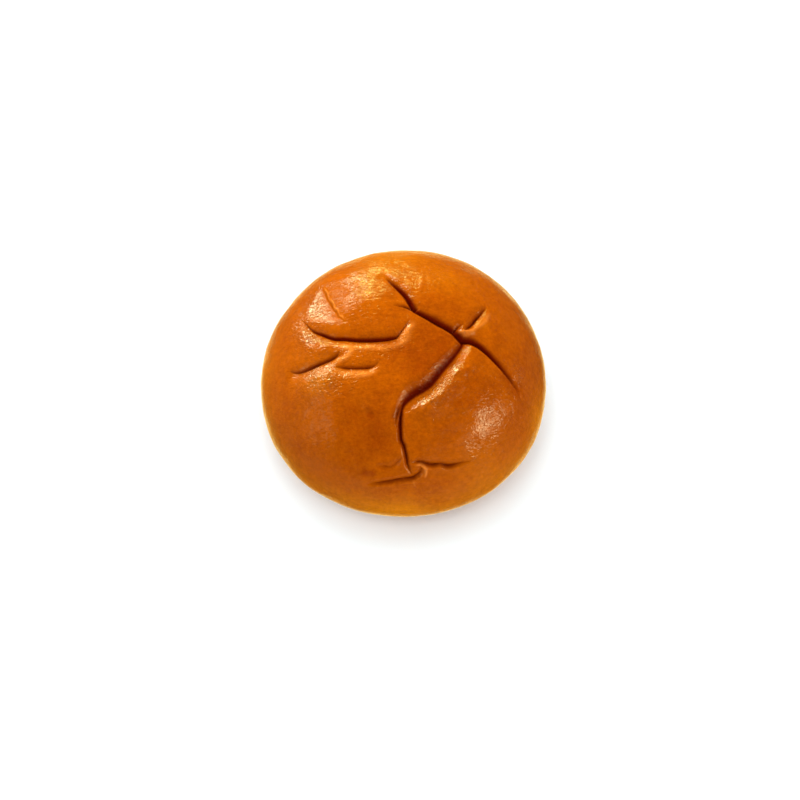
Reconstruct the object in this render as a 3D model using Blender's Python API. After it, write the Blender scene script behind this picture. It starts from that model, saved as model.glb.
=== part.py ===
"""Red bean bun: a round, glossy baked bun with a flat base and a deeply folded top.

Metres, +Z up. The origin is at the middle of the flat base. -Y is the front, where the long
fold runs down to the side.
"""

import math
from collections import namedtuple

import bmesh
import bpy
import numpy as np
from mathutils import Vector, noise

MM = 0.001

# Driving dimensions, in millimetres
BUN_WIDTH = 90.0
BUN_HEIGHT = 45.0
BELT_HEIGHT = 15.0  # height of the widest ring
BASE_WIDTH = 62.0  # the flat that rested on the baking tray
CROWN_FULLNESS = 2.05  # 2 is an ellipse, more is squarer
OUTLINE_WAVES = (  # waves round the outline: how many, cosine share, sine share
    (2, -0.007, 0.004),
    (3, -0.002, -0.006),
    (4, -0.005, -0.001),
)
RELIEF_FOOT = 4.5  # the crown's relief sets in at this height
RELIEF_FULL = 12.0  # and is full from this height up
SLOPE_RUN = 9.0  # how far the long slopes beside the folds run
DOUGH_LUMP = 9.0  # size of the lumps of the uneven dough
DOUGH_RISE = 0.3  # how far they stand out

# The mesh
SPHERE_STEPS = 5
BASE_SHARE = 0.3  # how closely the base is meshed beside the crown
CREASE_MESH = (3.2, 1.7)  # within this far of a crease, edges longer than this are halved
FOLD_MESH = (1.7, 0.9)  # the same for the folds alone
SNAP = 0.3  # points this near a fold's line move onto it
RING_SNAP = 0.012  # points this near the base's edge move onto it, on the unit sphere
PROFILE_STEPS = 400
ROUTE_STEPS = 8
BLEND_POWER = 3.0  # how folds share their depth where they meet

CRUST_COLOUR = (0.44, 0.13, 0.012, 1.0)
CRUST_ROUGHNESS = 0.35

# A fold runs along its route of (x, y, depth) points over the crown. Its walls, left and right as
# seen along the route, reach out to the open crown: fullness 2 is a quarter ellipse, 1 is a
# straight ramp. Each can leave a share of the fold's depth as a long slope past its top.
Wall = namedtuple("Wall", "reach fullness slope")
Fold = namedtuple("Fold", "route left right")

FOLDS = {
    "long_back": Fold(
        (
            (-5.8, 23.2, 0.4),
            (-4.7, 20.9, 1.3),
            (-2.1, 17.5, 2.2),
            (0.6, 13.6, 2.6),
            (2.8, 9.0, 2.7),
            (4.6, 7.4, 2.5),
            (10.8, 3.9, 2.9),
            (14.9, 1.5, 3.3),
            (16.4, 0.1, 3.4),
            (18.2, -0.9, 3.4),
            (20.7, -1.2, 3.2),
            (23.7, -2.8, 2.7),
            (28.7, -6.9, 2.2),
            (32.2, -10.6, 1.4),
            (34.3, -13.6, 0.6),
            (35.6, -16.0, 0.0),
        ),
        Wall(4.2, 1.8, 0.0),
        Wall(2.4, 1.9, 0.2),
    ),
    "back_twig": Fold(
        ((-3.5, 9.7, 0.1), (-1.7, 9.9, 0.8), (0.1, 9.7, 1.3), (2.3, 9.0, 1.9), (3.6, 9.0, 2.2)),
        Wall(2.2, 1.4, 0.0),
        Wall(1.4, 1.4, 0.3),
    ),
    "right_twig": Fold(
        (
            (24.8, 13.0, 0.1),
            (24.6, 11.7, 1.0),
            (23.4, 9.5, 1.6),
            (22.1, 7.4, 1.8),
            (21.0, 5.4, 1.7),
            (19.8, 3.9, 1.4),
            (18.4, 2.4, 0.4),
        ),
        Wall(1.9, 1.5, 0.1),
        Wall(3.4, 1.7, 0.0),
    ),
    "twig_foot": Fold(
        ((18.9, 4.6, 0.1), (17.4, 4.3, 0.8), (16.4, 3.4, 1.5), (15.5, 2.2, 2.2)),
        Wall(2.6, 1.2, 0.0),
        Wall(2.6, 1.3, 0.0),
    ),
    "long_front": Fold(
        (
            (18.0, -1.2, 2.6),
            (17.7, -3.0, 1.9),
            (15.0, -7.3, 2.1),
            (11.4, -12.0, 2.5),
            (8.6, -15.9, 2.6),
            (6.0, -18.0, 2.7),
            (3.4, -19.5, 2.7),
            (1.6, -20.9, 2.5),
            (0.2, -22.4, 2.1),
            (-0.5, -24.0, 1.6),
            (-0.8, -25.3, 0.6),
        ),
        Wall(4.0, 0.95, 0.0),
        Wall(3.6, 1.2, 0.0),
    ),
    "front_crack": Fold(
        (
            (0.7, -21.2, 0.8),
            (-0.3, -23.1, 1.7),
            (-1.0, -27.3, 2.0),
            (-0.8, -31.9, 1.9),
            (0.1, -33.8, 1.8),
            (0.9, -36.8, 1.6),
            (1.2, -38.1, 1.3),
            (2.4, -40.0, 0.4),
        ),
        Wall(1.3, 1.4, 0.05),
        Wall(1.5, 1.4, 0.05),
    ),
    "crack_twin": Fold(
        (
            (-0.6, -22.0, 0.9),
            (-1.5, -24.2, 1.4),
            (-2.2, -26.5, 1.2),
            (-2.2, -28.8, 0.6),
            (-1.6, -30.8, 0.0),
        ),
        Wall(2.2, 1.6, 0.0),
        Wall(2.0, 1.6, 0.0),
    ),
    "front_low": Fold(
        (
            (-10.9, -41.1, 0.1),
            (-8.6, -41.2, 0.8),
            (-5.6, -41.3, 1.3),
            (-2.6, -41.1, 1.3),
            (0.4, -40.9, 1.4),
            (2.5, -40.7, 1.5),
            (3.7, -40.2, 1.4),
            (4.8, -39.5, 1.2),
            (5.2, -38.7, 0.8),
            (4.7, -38.0, 0.1),
        ),
        Wall(2.2, 1.5, 0.0),
        Wall(1.4, 1.3, 0.0),
    ),
    "front_right": Fold(
        (
            (2.2, -37.4, 0.2),
            (4.4, -37.2, 1.2),
            (6.4, -37.5, 1.4),
            (8.6, -37.7, 1.5),
            (10.9, -37.3, 1.3),
            (13.6, -37.4, 1.6),
            (17.5, -36.0, 0.9),
            (20.9, -34.7, 0.0),
        ),
        Wall(2.2, 1.5, 0.0),
        Wall(1.4, 1.3, 0.0),
    ),
    "front_left": Fold(
        (
            (-8.6, -37.8, 0.0),
            (-6.1, -38.2, 0.8),
            (-4.0, -38.3, 0.6),
            (-2.3, -37.6, 0.8),
            (-1.1, -36.7, 0.6),
            (-0.5, -36.0, 0.0),
        ),
        Wall(1.8, 1.3, 0.0),
        Wall(1.6, 1.3, 0.0),
    ),
    "left_long": Fold(
        (
            (-30.8, 9.3, 0.3),
            (-30.1, 7.9, 0.8),
            (-27.9, 4.8, 1.5),
            (-24.9, 2.6, 2.1),
            (-21.7, 0.5, 2.3),
            (-18.5, -0.2, 2.4),
            (-14.7, -1.1, 2.4),
            (-10.6, -1.6, 2.4),
            (-6.7, -1.7, 2.3),
            (-3.9, -1.4, 2.1),
            (-2.2, -1.0, 1.7),
            (-1.3, 0.0, 1.3),
            (0.7, 2.8, 0.8),
            (1.8, 4.6, 0.1),
        ),
        Wall(5.0, 2.0, 0.0),
        Wall(3.8, 1.25, 0.3),
    ),
    "left_low": Fold(
        (
            (-34.7, -7.1, 0.2),
            (-33.5, -7.9, 1.0),
            (-31.6, -8.5, 1.4),
            (-29.2, -8.4, 1.6),
            (-27.0, -8.0, 1.7),
            (-23.1, -7.2, 1.6),
            (-21.4, -6.6, 1.5),
            (-20.2, -5.9, 1.1),
            (-19.4, -4.9, 0.3),
        ),
        Wall(4.8, 2.0, 0.0),
        Wall(4.8, 1.1, 0.05),
    ),
    "left_middle": Fold(
        (
            (-20.9, -9.7, 0.2),
            (-19.3, -10.2, 0.9),
            (-17.3, -10.7, 1.4),
            (-14.9, -11.0, 1.4),
            (-12.4, -11.2, 1.4),
            (-10.5, -11.1, 1.4),
            (-8.9, -10.7, 1.0),
            (-7.8, -9.7, 0.5),
            (-7.3, -8.3, 0.1),
        ),
        Wall(4.6, 2.0, 0.0),
        Wall(3.2, 1.3, 0.35),
    ),
}

# A ridge stands up along its route of (x, y, height) points as a broad roll
Ridge = namedtuple("Ridge", "route reach")

RIDGES = {
    "right_shoulder": Ridge(
        (
            (23.0, -3.2, 0.0),
            (21.5, -5.4, 0.5),
            (19.0, -10.3, 0.8),
            (15.2, -15.2, 1.1),
            (12.0, -19.6, 1.1),
            (8.9, -22.2, 1.3),
            (6.4, -23.8, 1.2),
            (5.2, -26.0, 0.5),
            (5.0, -29.0, 0.0),
        ),
        3.0,
    ),
    "left_ledge": Ridge(
        (
            (-33.0, 7.5, 0.1),
            (-31.6, 3.6, 0.3),
            (-28.6, -0.4, 0.5),
            (-25.2, -2.4, 0.3),
            (-21.6, -2.9, 0.1),
        ),
        2.4,
    ),
    "middle_ledge": Ridge(
        (
            (-19.5, -3.2, 0.0),
            (-16.6, -3.6, 0.2),
            (-12.0, -4.2, 0.25),
            (-8.0, -4.4, 0.2),
            (-5.0, -4.6, 0.0),
        ),
        1.4,
    ),
    "tuck_high": Ridge(
        (
            (-1.7, -3.1, 0.0),
            (-0.3, -0.8, 0.2),
            (1.1, 0.9, 0.25),
            (2.6, 2.8, 0.25),
            (3.2, 6.0, 0.0),
        ),
        1.4,
    ),
    "low_ledge": Ridge(
        (
            (-34.5, -9.6, 0.1),
            (-31.0, -12.2, 0.2),
            (-26.4, -13.0, 0.3),
            (-21.6, -13.2, 0.3),
            (-17.0, -14.2, 0.2),
            (-12.0, -15.0, 0.0),
        ),
        2.6,
    ),
    "middle_rim": Ridge(
        (
            (-19.4, -12.4, 0.1),
            (-15.4, -12.9, 0.2),
            (-11.2, -13.1, 0.25),
            (-8.4, -11.8, 0.2),
            (-6.8, -9.0, 0.0),
        ),
        1.4,
    ),
}

# Broad swells and hollows of the crown: x, y, reach, height
SWELLS = (
    (22.0, -20.0, 13.0, 0.8),
    (14.0, -19.5, 8.0, 0.8),
    (-25.0, -16.5, 7.0, 0.9),
    (15.0, 19.0, 13.0, 0.9),
    (-20.0, -26.0, 14.0, 0.8),
    (-12.0, 11.0, 8.5, 0.8),
    (6.5, -3.5, 7.5, -0.6),
    (-5.0, -7.0, 6.0, -0.5),
    (-7.5, -27.6, 2.6, -0.35),
    (-7.4, -32.0, 3.0, -0.4),
    (-6.0, -38.5, 5.0, -0.3),
    (12.0, -38.5, 5.0, -0.3),
)

# A flat three-cornered place beside the left folds: its corners in plan, anticlockwise, with how
# far each stands off the crown, and how softly the crown runs into it over each side
FACET_CORNERS = ((-24.8, 21.4, -0.2), (-30.1, 9.1, 0.2), (-18.4, 5.8, -0.1))
FACET_SOFTNESS = (5.0, 2.0, 2.0)


def clear_scene():
    for thing in list(bpy.data.objects):
        bpy.data.objects.remove(thing, do_unlink=True)


def make_material(name, colour, roughness):
    material = bpy.data.materials.new(name)
    material.use_nodes = True
    shader = material.node_tree.nodes["Principled BSDF"]
    shader.inputs["Base Color"].default_value = colour
    shader.inputs["Roughness"].default_value = roughness
    return material


def smooth_step(value):
    value = np.clip(value, 0, 1)
    return value * value * (3 - 2 * value)


def bun_profile():
    """Half of the smooth bun's outline, from the top's middle down and under to the base's: its
    radii, its heights, and the share of the surface above each, less of it under the bun."""
    turn = np.linspace(0.0, math.pi / 2, PROFILE_STEPS)
    power = 2 / CROWN_FULLNESS
    half, base = BUN_WIDTH / 2, BASE_WIDTH / 2
    crown_r = half * np.sin(turn) ** power
    crown_z = BELT_HEIGHT + (BUN_HEIGHT - BELT_HEIGHT) * np.cos(turn) ** power
    foot_r = base + (half - base) * np.cos(turn)
    foot_z = BELT_HEIGHT * (1 - np.sin(turn))
    flat_r = np.linspace(base, 0.0, PROFILE_STEPS)
    radius = np.concatenate((crown_r, foot_r[1:], flat_r[1:]))
    height = np.concatenate((crown_z, foot_z[1:], 0 * flat_r[1:]))
    step = np.hypot(np.diff(radius), np.diff(height))
    middle = (radius[1:] + radius[:-1]) / 2
    weight = np.where(height[1:] > BELT_HEIGHT / 2, 1.0, BASE_SHARE)
    share = np.concatenate(((0.0,), np.cumsum(step * middle * weight)))
    return radius, height, share / share[-1]


def outline_stretch(angle):
    """How far the outline stands out at an angle, 1 being a true circle."""
    waves = [c * np.cos(n * angle) + s * np.sin(n * angle) for n, c, s in OUTLINE_WAVES]
    return 1.0 + sum(waves)


def place_on_bun(directions):
    """Points of the smooth bun for unit directions, the sphere's area shared out down the
    profile."""
    radius, height, share = bun_profile()
    wanted = (1 - directions[:, 2]) / 2
    r = np.interp(wanted, share, radius)
    z = np.interp(wanted, share, height)
    angle = np.arctan2(directions[:, 1], directions[:, 0])
    r = r * outline_stretch(angle)
    return np.column_stack((r * np.cos(angle), r * np.sin(angle), z))


def crown_height(x, y):
    """Height of the smooth crown over a point of the plan."""
    r = np.hypot(x, y) / outline_stretch(np.arctan2(y, x)) / (BUN_WIDTH / 2)
    rise = np.clip(1 - r**CROWN_FULLNESS, 0, None) ** (1 / CROWN_FULLNESS)
    return BELT_HEIGHT + (BUN_HEIGHT - BELT_HEIGHT) * rise


def smooth_route(points):
    """A route's points joined by a Catmull-Rom curve."""
    p = np.array(points, dtype=float)
    p = np.vstack((2 * p[0] - p[1], p, 2 * p[-1] - p[-2]))
    t = np.linspace(0, 1, ROUTE_STEPS, endpoint=False)[:, None]
    spans = []
    for a, b, c, d in zip(p, p[1:], p[2:], p[3:]):
        cubic = 3 * b - a - 3 * c + d
        square = 2 * a - 5 * b + 4 * c - d
        spans.append(0.5 * (2 * b + (c - a) * t + square * t**2 + cubic * t**3))
    return np.vstack((*spans, p[-2]))


def lay_route(route):
    """A route's line on the smooth crown, and the last value of its points along it."""
    x, y, value = smooth_route(route).T
    line = np.column_stack((x, y, crown_height(x, y)))
    return line, np.clip(value, 0, None)


def facet_corners():
    """The facet's corners, and the same corners each moved on by one."""
    x, y, rise = np.array(FACET_CORNERS).T
    corners = np.column_stack((x, y, crown_height(x, y) + rise))
    return corners, np.roll(corners, -1, axis=0)


def nearest_on_line(points, line):
    """For each point: its distance to the line, the nearest place as a position along it, and
    that place itself."""
    best = np.full(len(points), np.inf)
    place = np.zeros(len(points))
    foot = np.zeros_like(points)
    for i, (a, d) in enumerate(zip(line[:-1], np.diff(line, axis=0))):
        t = np.clip((points - a) @ d / max(d @ d, 1e-12), 0, 1)
        near = a + t[:, None] * d
        far = np.linalg.norm(points - near, axis=1)
        closer = far < best
        best[closer] = far[closer]
        place[closer] = i + t[closer]
        foot[closer] = near[closer]
    return best, place, foot


def wall_depth(distance, reach, fullness):
    """A puffed wall, from the fold's sharp foot out to the open crown."""
    inner = np.clip(1 - distance / reach, 0, 1)
    return 1 - (1 - inner**fullness) ** (1 / fullness)


def fold_depth(points, normals, fold):
    """How deep one fold presses each point in."""
    line, depth = lay_route(fold.route)
    distance, place, foot = nearest_on_line(points, line)
    heading = np.gradient(line, axis=0)
    index = np.clip(np.round(place).astype(int), 0, len(line) - 1)
    side = np.einsum("ij,ij->i", np.cross(normals, heading[index]), points - foot) > 0
    here = np.interp(place, np.arange(len(line)), depth)
    reach = np.where(side, fold.left.reach, fold.right.reach)
    reach = reach * (0.35 + 0.65 * here / depth.max())
    inside = wall_depth(distance, reach, np.where(side, fold.left.fullness, fold.right.fullness))
    slope = np.where(side, fold.left.slope, fold.right.slope)
    return here * ((1 - slope) * inside + slope * np.clip(1 - distance / SLOPE_RUN, 0, 1) ** 2)


def ridge_height(points, ridge):
    line, height = lay_route(ridge.route)
    distance, place, _ = nearest_on_line(points, line)
    return np.interp(place, np.arange(len(line)), height) * np.exp(-((distance / ridge.reach) ** 2))


def facet_relief(points):
    """How far the crown is moved to the plane through the facet's corners."""
    corners, following = facet_corners()
    up = np.cross(corners[1] - corners[0], corners[2] - corners[0])
    up /= np.linalg.norm(up)
    above = (points - corners[0]) @ up
    for start, end, softness in zip(corners, following, FACET_SOFTNESS):
        inward = np.cross(up, end - start)
        inward /= np.linalg.norm(inward)
        above = above * smooth_step((points - start) @ inward / softness + 0.5)
    return -above


def crown_relief(points, normals):
    """How far each point of the smooth bun moves out along its normal."""
    deep = sum(fold_depth(points, normals, fold) ** BLEND_POWER for fold in FOLDS.values())
    relief = facet_relief(points) - deep ** (1 / BLEND_POWER)
    relief += sum(ridge_height(points, ridge) for ridge in RIDGES.values())
    for x, y, reach, height in SWELLS:
        away = np.linalg.norm(points - (x, y, crown_height(x, y)), axis=1)
        relief += height * np.exp(-((away / reach) ** 2))
    relief += DOUGH_RISE * np.array([noise.noise(Vector(p) / DOUGH_LUMP) for p in points])
    return relief * np.clip((points[:, 2] - RELIEF_FOOT) / (RELIEF_FULL - RELIEF_FOOT), 0, 1)


def vertex_array(bm):
    return np.array([v.co[:] for v in bm.verts])


def refine_near(bm, lines, within, longest):
    """Halve the longer edges near the lines, on the unit sphere."""
    bm.verts.index_update()
    placed = place_on_bun(vertex_array(bm))
    ends = np.array([[v.index for v in e.verts] for e in bm.edges])
    middles = placed[ends].mean(axis=1)
    lengths = np.linalg.norm(placed[ends[:, 0]] - placed[ends[:, 1]], axis=1)
    away = np.min([nearest_on_line(middles, line)[0] for line in lines], axis=0)
    wanted = (away < within) & (lengths > longest)
    edges = [e for e, w in zip(bm.edges, wanted) if w]
    bmesh.ops.subdivide_edges(bm, edges=edges, cuts=1)
    bmesh.ops.triangulate(bm, faces=bm.faces)
    for v in bm.verts:
        v.co.normalize()


def cut_base_edge(bm):
    """Lay a ring of edges round the unit sphere where the base's flat begins."""
    share = bun_profile()[2][-PROFILE_STEPS]
    level = 1 - 2 * share
    ring = math.sqrt(1 - level**2)
    for v in bm.verts:
        if abs(v.co.z - level) < RING_SNAP:
            flat = v.co.xy.normalized() * ring
            v.co = (flat.x, flat.y, level)
    geometry = (*bm.verts, *bm.edges, *bm.faces)
    bmesh.ops.bisect_plane(bm, geom=geometry, dist=1e-6, plane_co=(0, 0, level), plane_no=(0, 0, 1))
    bmesh.ops.triangulate(bm, faces=bm.faces)


def snap_to_lines(points, lines):
    """Points close to a line slide onto it, so that the folds' feet are clean lines."""
    for line in lines:
        distance, _, foot = nearest_on_line(points, line)
        close = distance < SNAP
        points[close] = foot[close]
    return points


def centre_on_base(points):
    """Move the points so that the middle of their box stands over the origin."""
    low, high = points.min(axis=0), points.max(axis=0)
    middle = (low + high) / 2
    return points - (middle[0], middle[1], low[2])


def make_bun(collection):
    folds = [lay_route(fold.route)[0] for fold in FOLDS.values()]
    ridges = [lay_route(ridge.route)[0] for ridge in RIDGES.values()]
    facet = np.vstack((facet_corners()[0], facet_corners()[0][:1]))
    bm = bmesh.new()
    bmesh.ops.create_icosphere(bm, subdivisions=SPHERE_STEPS, radius=1.0)
    refine_near(bm, (*folds, *ridges, facet), *CREASE_MESH)
    refine_near(bm, folds, *FOLD_MESH)
    cut_base_edge(bm)
    smooth = snap_to_lines(place_on_bun(vertex_array(bm)), folds)
    for v, place in zip(bm.verts, smooth):
        v.co = place
    bm.normal_update()
    normals = np.array([v.normal[:] for v in bm.verts])
    shaped = centre_on_base(smooth + normals * crown_relief(smooth, normals)[:, None])
    for v, place in zip(bm.verts, shaped):
        v.co = place * MM
    bmesh.ops.recalc_face_normals(bm, faces=bm.faces)
    mesh = bpy.data.meshes.new("bun")
    bm.to_mesh(mesh)
    bm.free()
    mesh.shade_smooth()
    mesh.materials.append(make_material("crust", CRUST_COLOUR, CRUST_ROUGHNESS))
    collection.objects.link(bpy.data.objects.new("bun", mesh))


def main():
    clear_scene()
    collection = bpy.data.collections.new("red_bean_bun")
    bpy.context.scene.collection.children.link(collection)
    make_bun(collection)


main()
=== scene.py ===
"""Red bean bun: a glossy baked bun with a folded top, on a plain white table in soft light.

Laid out as a Blender add-on. Run as a script, it registers its classes, shapes the bun around
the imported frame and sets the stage. Metres, +Z up, the bun's base on z = 0
and its front towards -Y.
"""

import math
from collections import namedtuple

import bmesh
import bpy
import numpy as np
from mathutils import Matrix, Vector, noise


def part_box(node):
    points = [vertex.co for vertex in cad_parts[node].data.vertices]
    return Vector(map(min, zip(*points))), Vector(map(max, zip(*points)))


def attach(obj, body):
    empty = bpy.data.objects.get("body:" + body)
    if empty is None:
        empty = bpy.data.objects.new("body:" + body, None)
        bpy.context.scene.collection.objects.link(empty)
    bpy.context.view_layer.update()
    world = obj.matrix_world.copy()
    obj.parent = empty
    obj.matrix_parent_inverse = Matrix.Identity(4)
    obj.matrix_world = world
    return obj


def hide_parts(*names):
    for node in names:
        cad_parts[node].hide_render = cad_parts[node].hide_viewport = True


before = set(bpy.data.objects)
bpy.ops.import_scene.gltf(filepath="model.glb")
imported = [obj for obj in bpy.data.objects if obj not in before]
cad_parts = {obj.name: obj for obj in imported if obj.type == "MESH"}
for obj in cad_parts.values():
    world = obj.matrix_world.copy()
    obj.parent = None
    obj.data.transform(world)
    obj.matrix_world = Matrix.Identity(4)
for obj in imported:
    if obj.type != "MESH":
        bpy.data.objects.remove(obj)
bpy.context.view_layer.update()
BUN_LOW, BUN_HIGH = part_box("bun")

bl_info = {
    "name": "Red Bean Bun",
    "version": (1, 0, 0),
    "blender": (4, 5, 0),
    "location": "View3D > Sidebar > Bun",
    "description": "Shapes a glossy folded bean bun and the studio table under it",
    "category": "Add Mesh",
}

MM = 0.001

# --- The bun's shape, in millimetres ---

OUTLINE_WAVES = (  # waves round the outline: how many, cosine share, sine share
    (2, -0.007, 0.004),
    (3, -0.002, -0.006),
    (4, -0.005, -0.001),
)
PROFILE_STEPS = 600
BASE_SHARE = 0.3  # how closely the underside is meshed beside the crown
ROUTE_STEPS = 8
BLEND_POWER = 3.0  # how folds share their depth where they meet
SLOPE_RUN = 9.0  # how far the long slopes run
FOLD_TIP = 0.35  # share of its walls' full reach that a fold keeps at its shallow ends
WAVER = 0.15  # share by which a fold's walls swing wide and narrow
WAVER_LUMP = 4.0
LIP_PLACE = 0.75  # where a lip's crest stands, as a share of the wall's reach from the foot
LIP_WIDTH = 0.45  # and how far it spreads to each side
PATCHINESS = 0.4  # share by which a ridge rises and falls
PATCH_LUMP = 2.6
BROAD_RIDGE = 1.5  # ridges reaching further than this keep the colour of the crust round them
RIDGE_TAIL = 3.0  # a ridge has died away this many times its reach from its line
# Painted shade: the crust's colour is darkened towards each fold's foot, where shade falls
DARK_DEPTH = 2.8  # folds this deep are fully dark at the foot, and shallower ones in proportion
DARK_TIP = 0.4  # share of its full width that the dark foot keeps at a fold's shallow ends
FAR = 100.0  # further than any fold or ridge reaches
RELIEF_FOOT = 0.3  # the relief sets in at this share of the belt's height
RELIEF_RUN = 0.25  # and grows to full over this share of the crown's height

# A fold runs along its route of (x, y, depth) points over the crown. Its walls, left and right as
# seen along the route, reach out to the open crown: fullness 2 is a quarter ellipse, 1 is a
# straight ramp. Each can carry a raised lip, leave a share of the fold's depth as a long slope
# past its top, and is darkened with painted shade this far out from the fold's foot.
Wall = namedtuple("Wall", "reach fullness lip slope dark")
Fold = namedtuple("Fold", "route left right")

FOLDS = {
    "long_back": Fold(
        (
            (-5.8, 23.2, 0.4), (-4.7, 20.9, 1.3), (-2.1, 17.5, 2.2), (0.6, 13.6, 2.6),
            (2.8, 9.0, 2.7), (4.6, 7.4, 2.5), (10.8, 3.9, 2.9), (14.9, 1.5, 3.3),
            (16.4, 0.1, 3.4), (18.2, -0.9, 3.4), (20.7, -1.2, 3.2), (23.7, -2.8, 2.7),
            (28.7, -6.9, 2.2), (32.2, -10.6, 1.4), (34.3, -13.6, 0.6), (35.6, -16.0, 0.0),
        ),
        Wall(4.2, 1.8, 0.0, 0.0, 2.4),
        Wall(2.4, 1.9, 0.1, 0.2, 1.2),
    ),
    "back_twig": Fold(
        ((-3.5, 9.7, 0.1), (-1.7, 9.9, 0.8), (0.1, 9.7, 1.3), (2.3, 9.0, 1.9), (3.6, 9.0, 2.2)),
        Wall(2.2, 1.4, 0.0, 0.0, 1.4),
        Wall(1.4, 1.4, 0.1, 0.3, 1.0),
    ),
    "right_twig": Fold(
        (
            (24.8, 13.0, 0.1), (24.6, 11.7, 1.0), (23.4, 9.5, 1.6), (22.1, 7.4, 1.8),
            (21.0, 5.4, 1.7), (19.8, 3.9, 1.4), (18.4, 2.4, 0.4),
        ),
        Wall(1.9, 1.5, 0.1, 0.1, 0.9),
        Wall(3.4, 1.7, 0.0, 0.0, 1.8),
    ),
    "twig_foot": Fold(
        ((18.9, 4.6, 0.1), (17.4, 4.3, 0.8), (16.4, 3.4, 1.5), (15.5, 2.2, 2.2)),
        Wall(2.6, 1.2, 0.0, 0.0, 1.0),
        Wall(2.6, 1.3, 0.0, 0.0, 1.2),
    ),
    "long_front": Fold(
        (
            (18.0, -1.2, 2.6), (17.7, -3.0, 1.9), (15.0, -7.3, 2.1), (11.4, -12.0, 2.5),
            (8.6, -15.9, 2.6), (6.0, -18.0, 2.7), (3.4, -19.5, 2.7), (1.6, -20.9, 2.5),
            (0.2, -22.4, 2.1), (-0.5, -24.0, 1.6), (-0.8, -25.3, 0.6),
        ),
        Wall(4.0, 0.95, 0.0, 0.0, 1.4),
        Wall(3.6, 1.2, 0.0, 0.0, 2.8),
    ),
    "front_crack": Fold(
        (
            (0.7, -21.2, 0.8), (-0.3, -23.1, 1.7), (-1.0, -27.3, 2.0), (-0.8, -31.9, 1.9),
            (0.1, -33.8, 1.8), (0.9, -36.8, 1.6), (1.2, -38.1, 1.3), (2.4, -40.0, 0.4),
        ),
        Wall(1.3, 1.4, 0.0, 0.05, 1.2),
        Wall(1.5, 1.4, 0.0, 0.05, 1.8),
    ),
    "crack_twin": Fold(
        (
            (-0.6, -22.0, 0.9), (-1.5, -24.2, 1.4), (-2.2, -26.5, 1.2), (-2.2, -28.8, 0.6),
            (-1.6, -30.8, 0.0),
        ),
        Wall(2.2, 1.6, 0.0, 0.0, 2.4),
        Wall(2.0, 1.6, 0.0, 0.0, 3.0),
    ),
    "front_low": Fold(
        (
            (-10.9, -41.1, 0.1), (-8.6, -41.2, 0.8), (-5.6, -41.3, 1.3), (-2.6, -41.1, 1.3),
            (0.4, -40.9, 1.4), (2.5, -40.7, 1.5), (3.7, -40.2, 1.4), (4.8, -39.5, 1.2),
            (5.2, -38.7, 0.8), (4.7, -38.0, 0.1),
        ),
        Wall(2.2, 1.5, 0.05, 0.0, 1.8),
        Wall(1.4, 1.3, 0.15, 0.0, 1.4),
    ),
    "front_right": Fold(
        (
            (2.2, -37.4, 0.2), (4.4, -37.2, 1.2), (6.4, -37.5, 1.4), (8.6, -37.7, 1.5),
            (10.9, -37.3, 1.3), (13.6, -37.4, 1.6), (17.5, -36.0, 0.9), (20.9, -34.7, 0.0),
        ),
        Wall(2.2, 1.5, 0.0, 0.0, 2.0),
        Wall(1.4, 1.3, 0.15, 0.0, 1.8),
    ),
    "front_left": Fold(
        (
            (-8.6, -37.8, 0.0), (-6.1, -38.2, 0.8), (-4.0, -38.3, 0.6), (-2.3, -37.6, 0.8),
            (-1.1, -36.7, 0.6), (-0.5, -36.0, 0.0),
        ),
        Wall(1.8, 1.3, 0.0, 0.0, 1.6),
        Wall(1.6, 1.3, 0.1, 0.0, 1.6),
    ),
    "left_long": Fold(
        (
            (-30.8, 9.3, 0.3), (-30.1, 7.9, 0.8), (-27.9, 4.8, 1.5), (-24.9, 2.6, 2.1),
            (-21.7, 0.5, 2.3), (-18.5, -0.2, 2.4), (-14.7, -1.1, 2.4), (-10.6, -1.6, 2.4),
            (-6.7, -1.7, 2.3), (-3.9, -1.4, 2.1), (-2.2, -1.0, 1.7), (-1.3, 0.0, 1.3),
            (0.7, 2.8, 0.8), (1.8, 4.6, 0.1),
        ),
        Wall(5.0, 2.0, 0.0, 0.0, 1.2),
        Wall(3.8, 1.25, 0.0, 0.3, 0.8),
    ),
    "left_low": Fold(
        (
            (-34.7, -7.1, 0.2), (-33.5, -7.9, 1.0), (-31.6, -8.5, 1.4), (-29.2, -8.4, 1.6),
            (-27.0, -8.0, 1.7), (-23.1, -7.2, 1.6), (-21.4, -6.6, 1.5), (-20.2, -5.9, 1.1),
            (-19.4, -4.9, 0.3),
        ),
        Wall(4.8, 2.0, 0.0, 0.0, 1.5),
        Wall(4.8, 1.1, 0.0, 0.05, 0.9),
    ),
    "left_middle": Fold(
        (
            (-20.9, -9.7, 0.2), (-19.3, -10.2, 0.9), (-17.3, -10.7, 1.4), (-14.9, -11.0, 1.4),
            (-12.4, -11.2, 1.4), (-10.5, -11.1, 1.4), (-8.9, -10.7, 1.0), (-7.8, -9.7, 0.5),
            (-7.3, -8.3, 0.1),
        ),
        Wall(4.6, 2.0, 0.0, 0.0, 1.8),
        Wall(3.2, 1.3, 0.0, 0.35, 0.9),
    ),
}

# A ridge stands up along its route of (x, y, height) points, thin or as a broad roll
Ridge = namedtuple("Ridge", "route reach")

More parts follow.
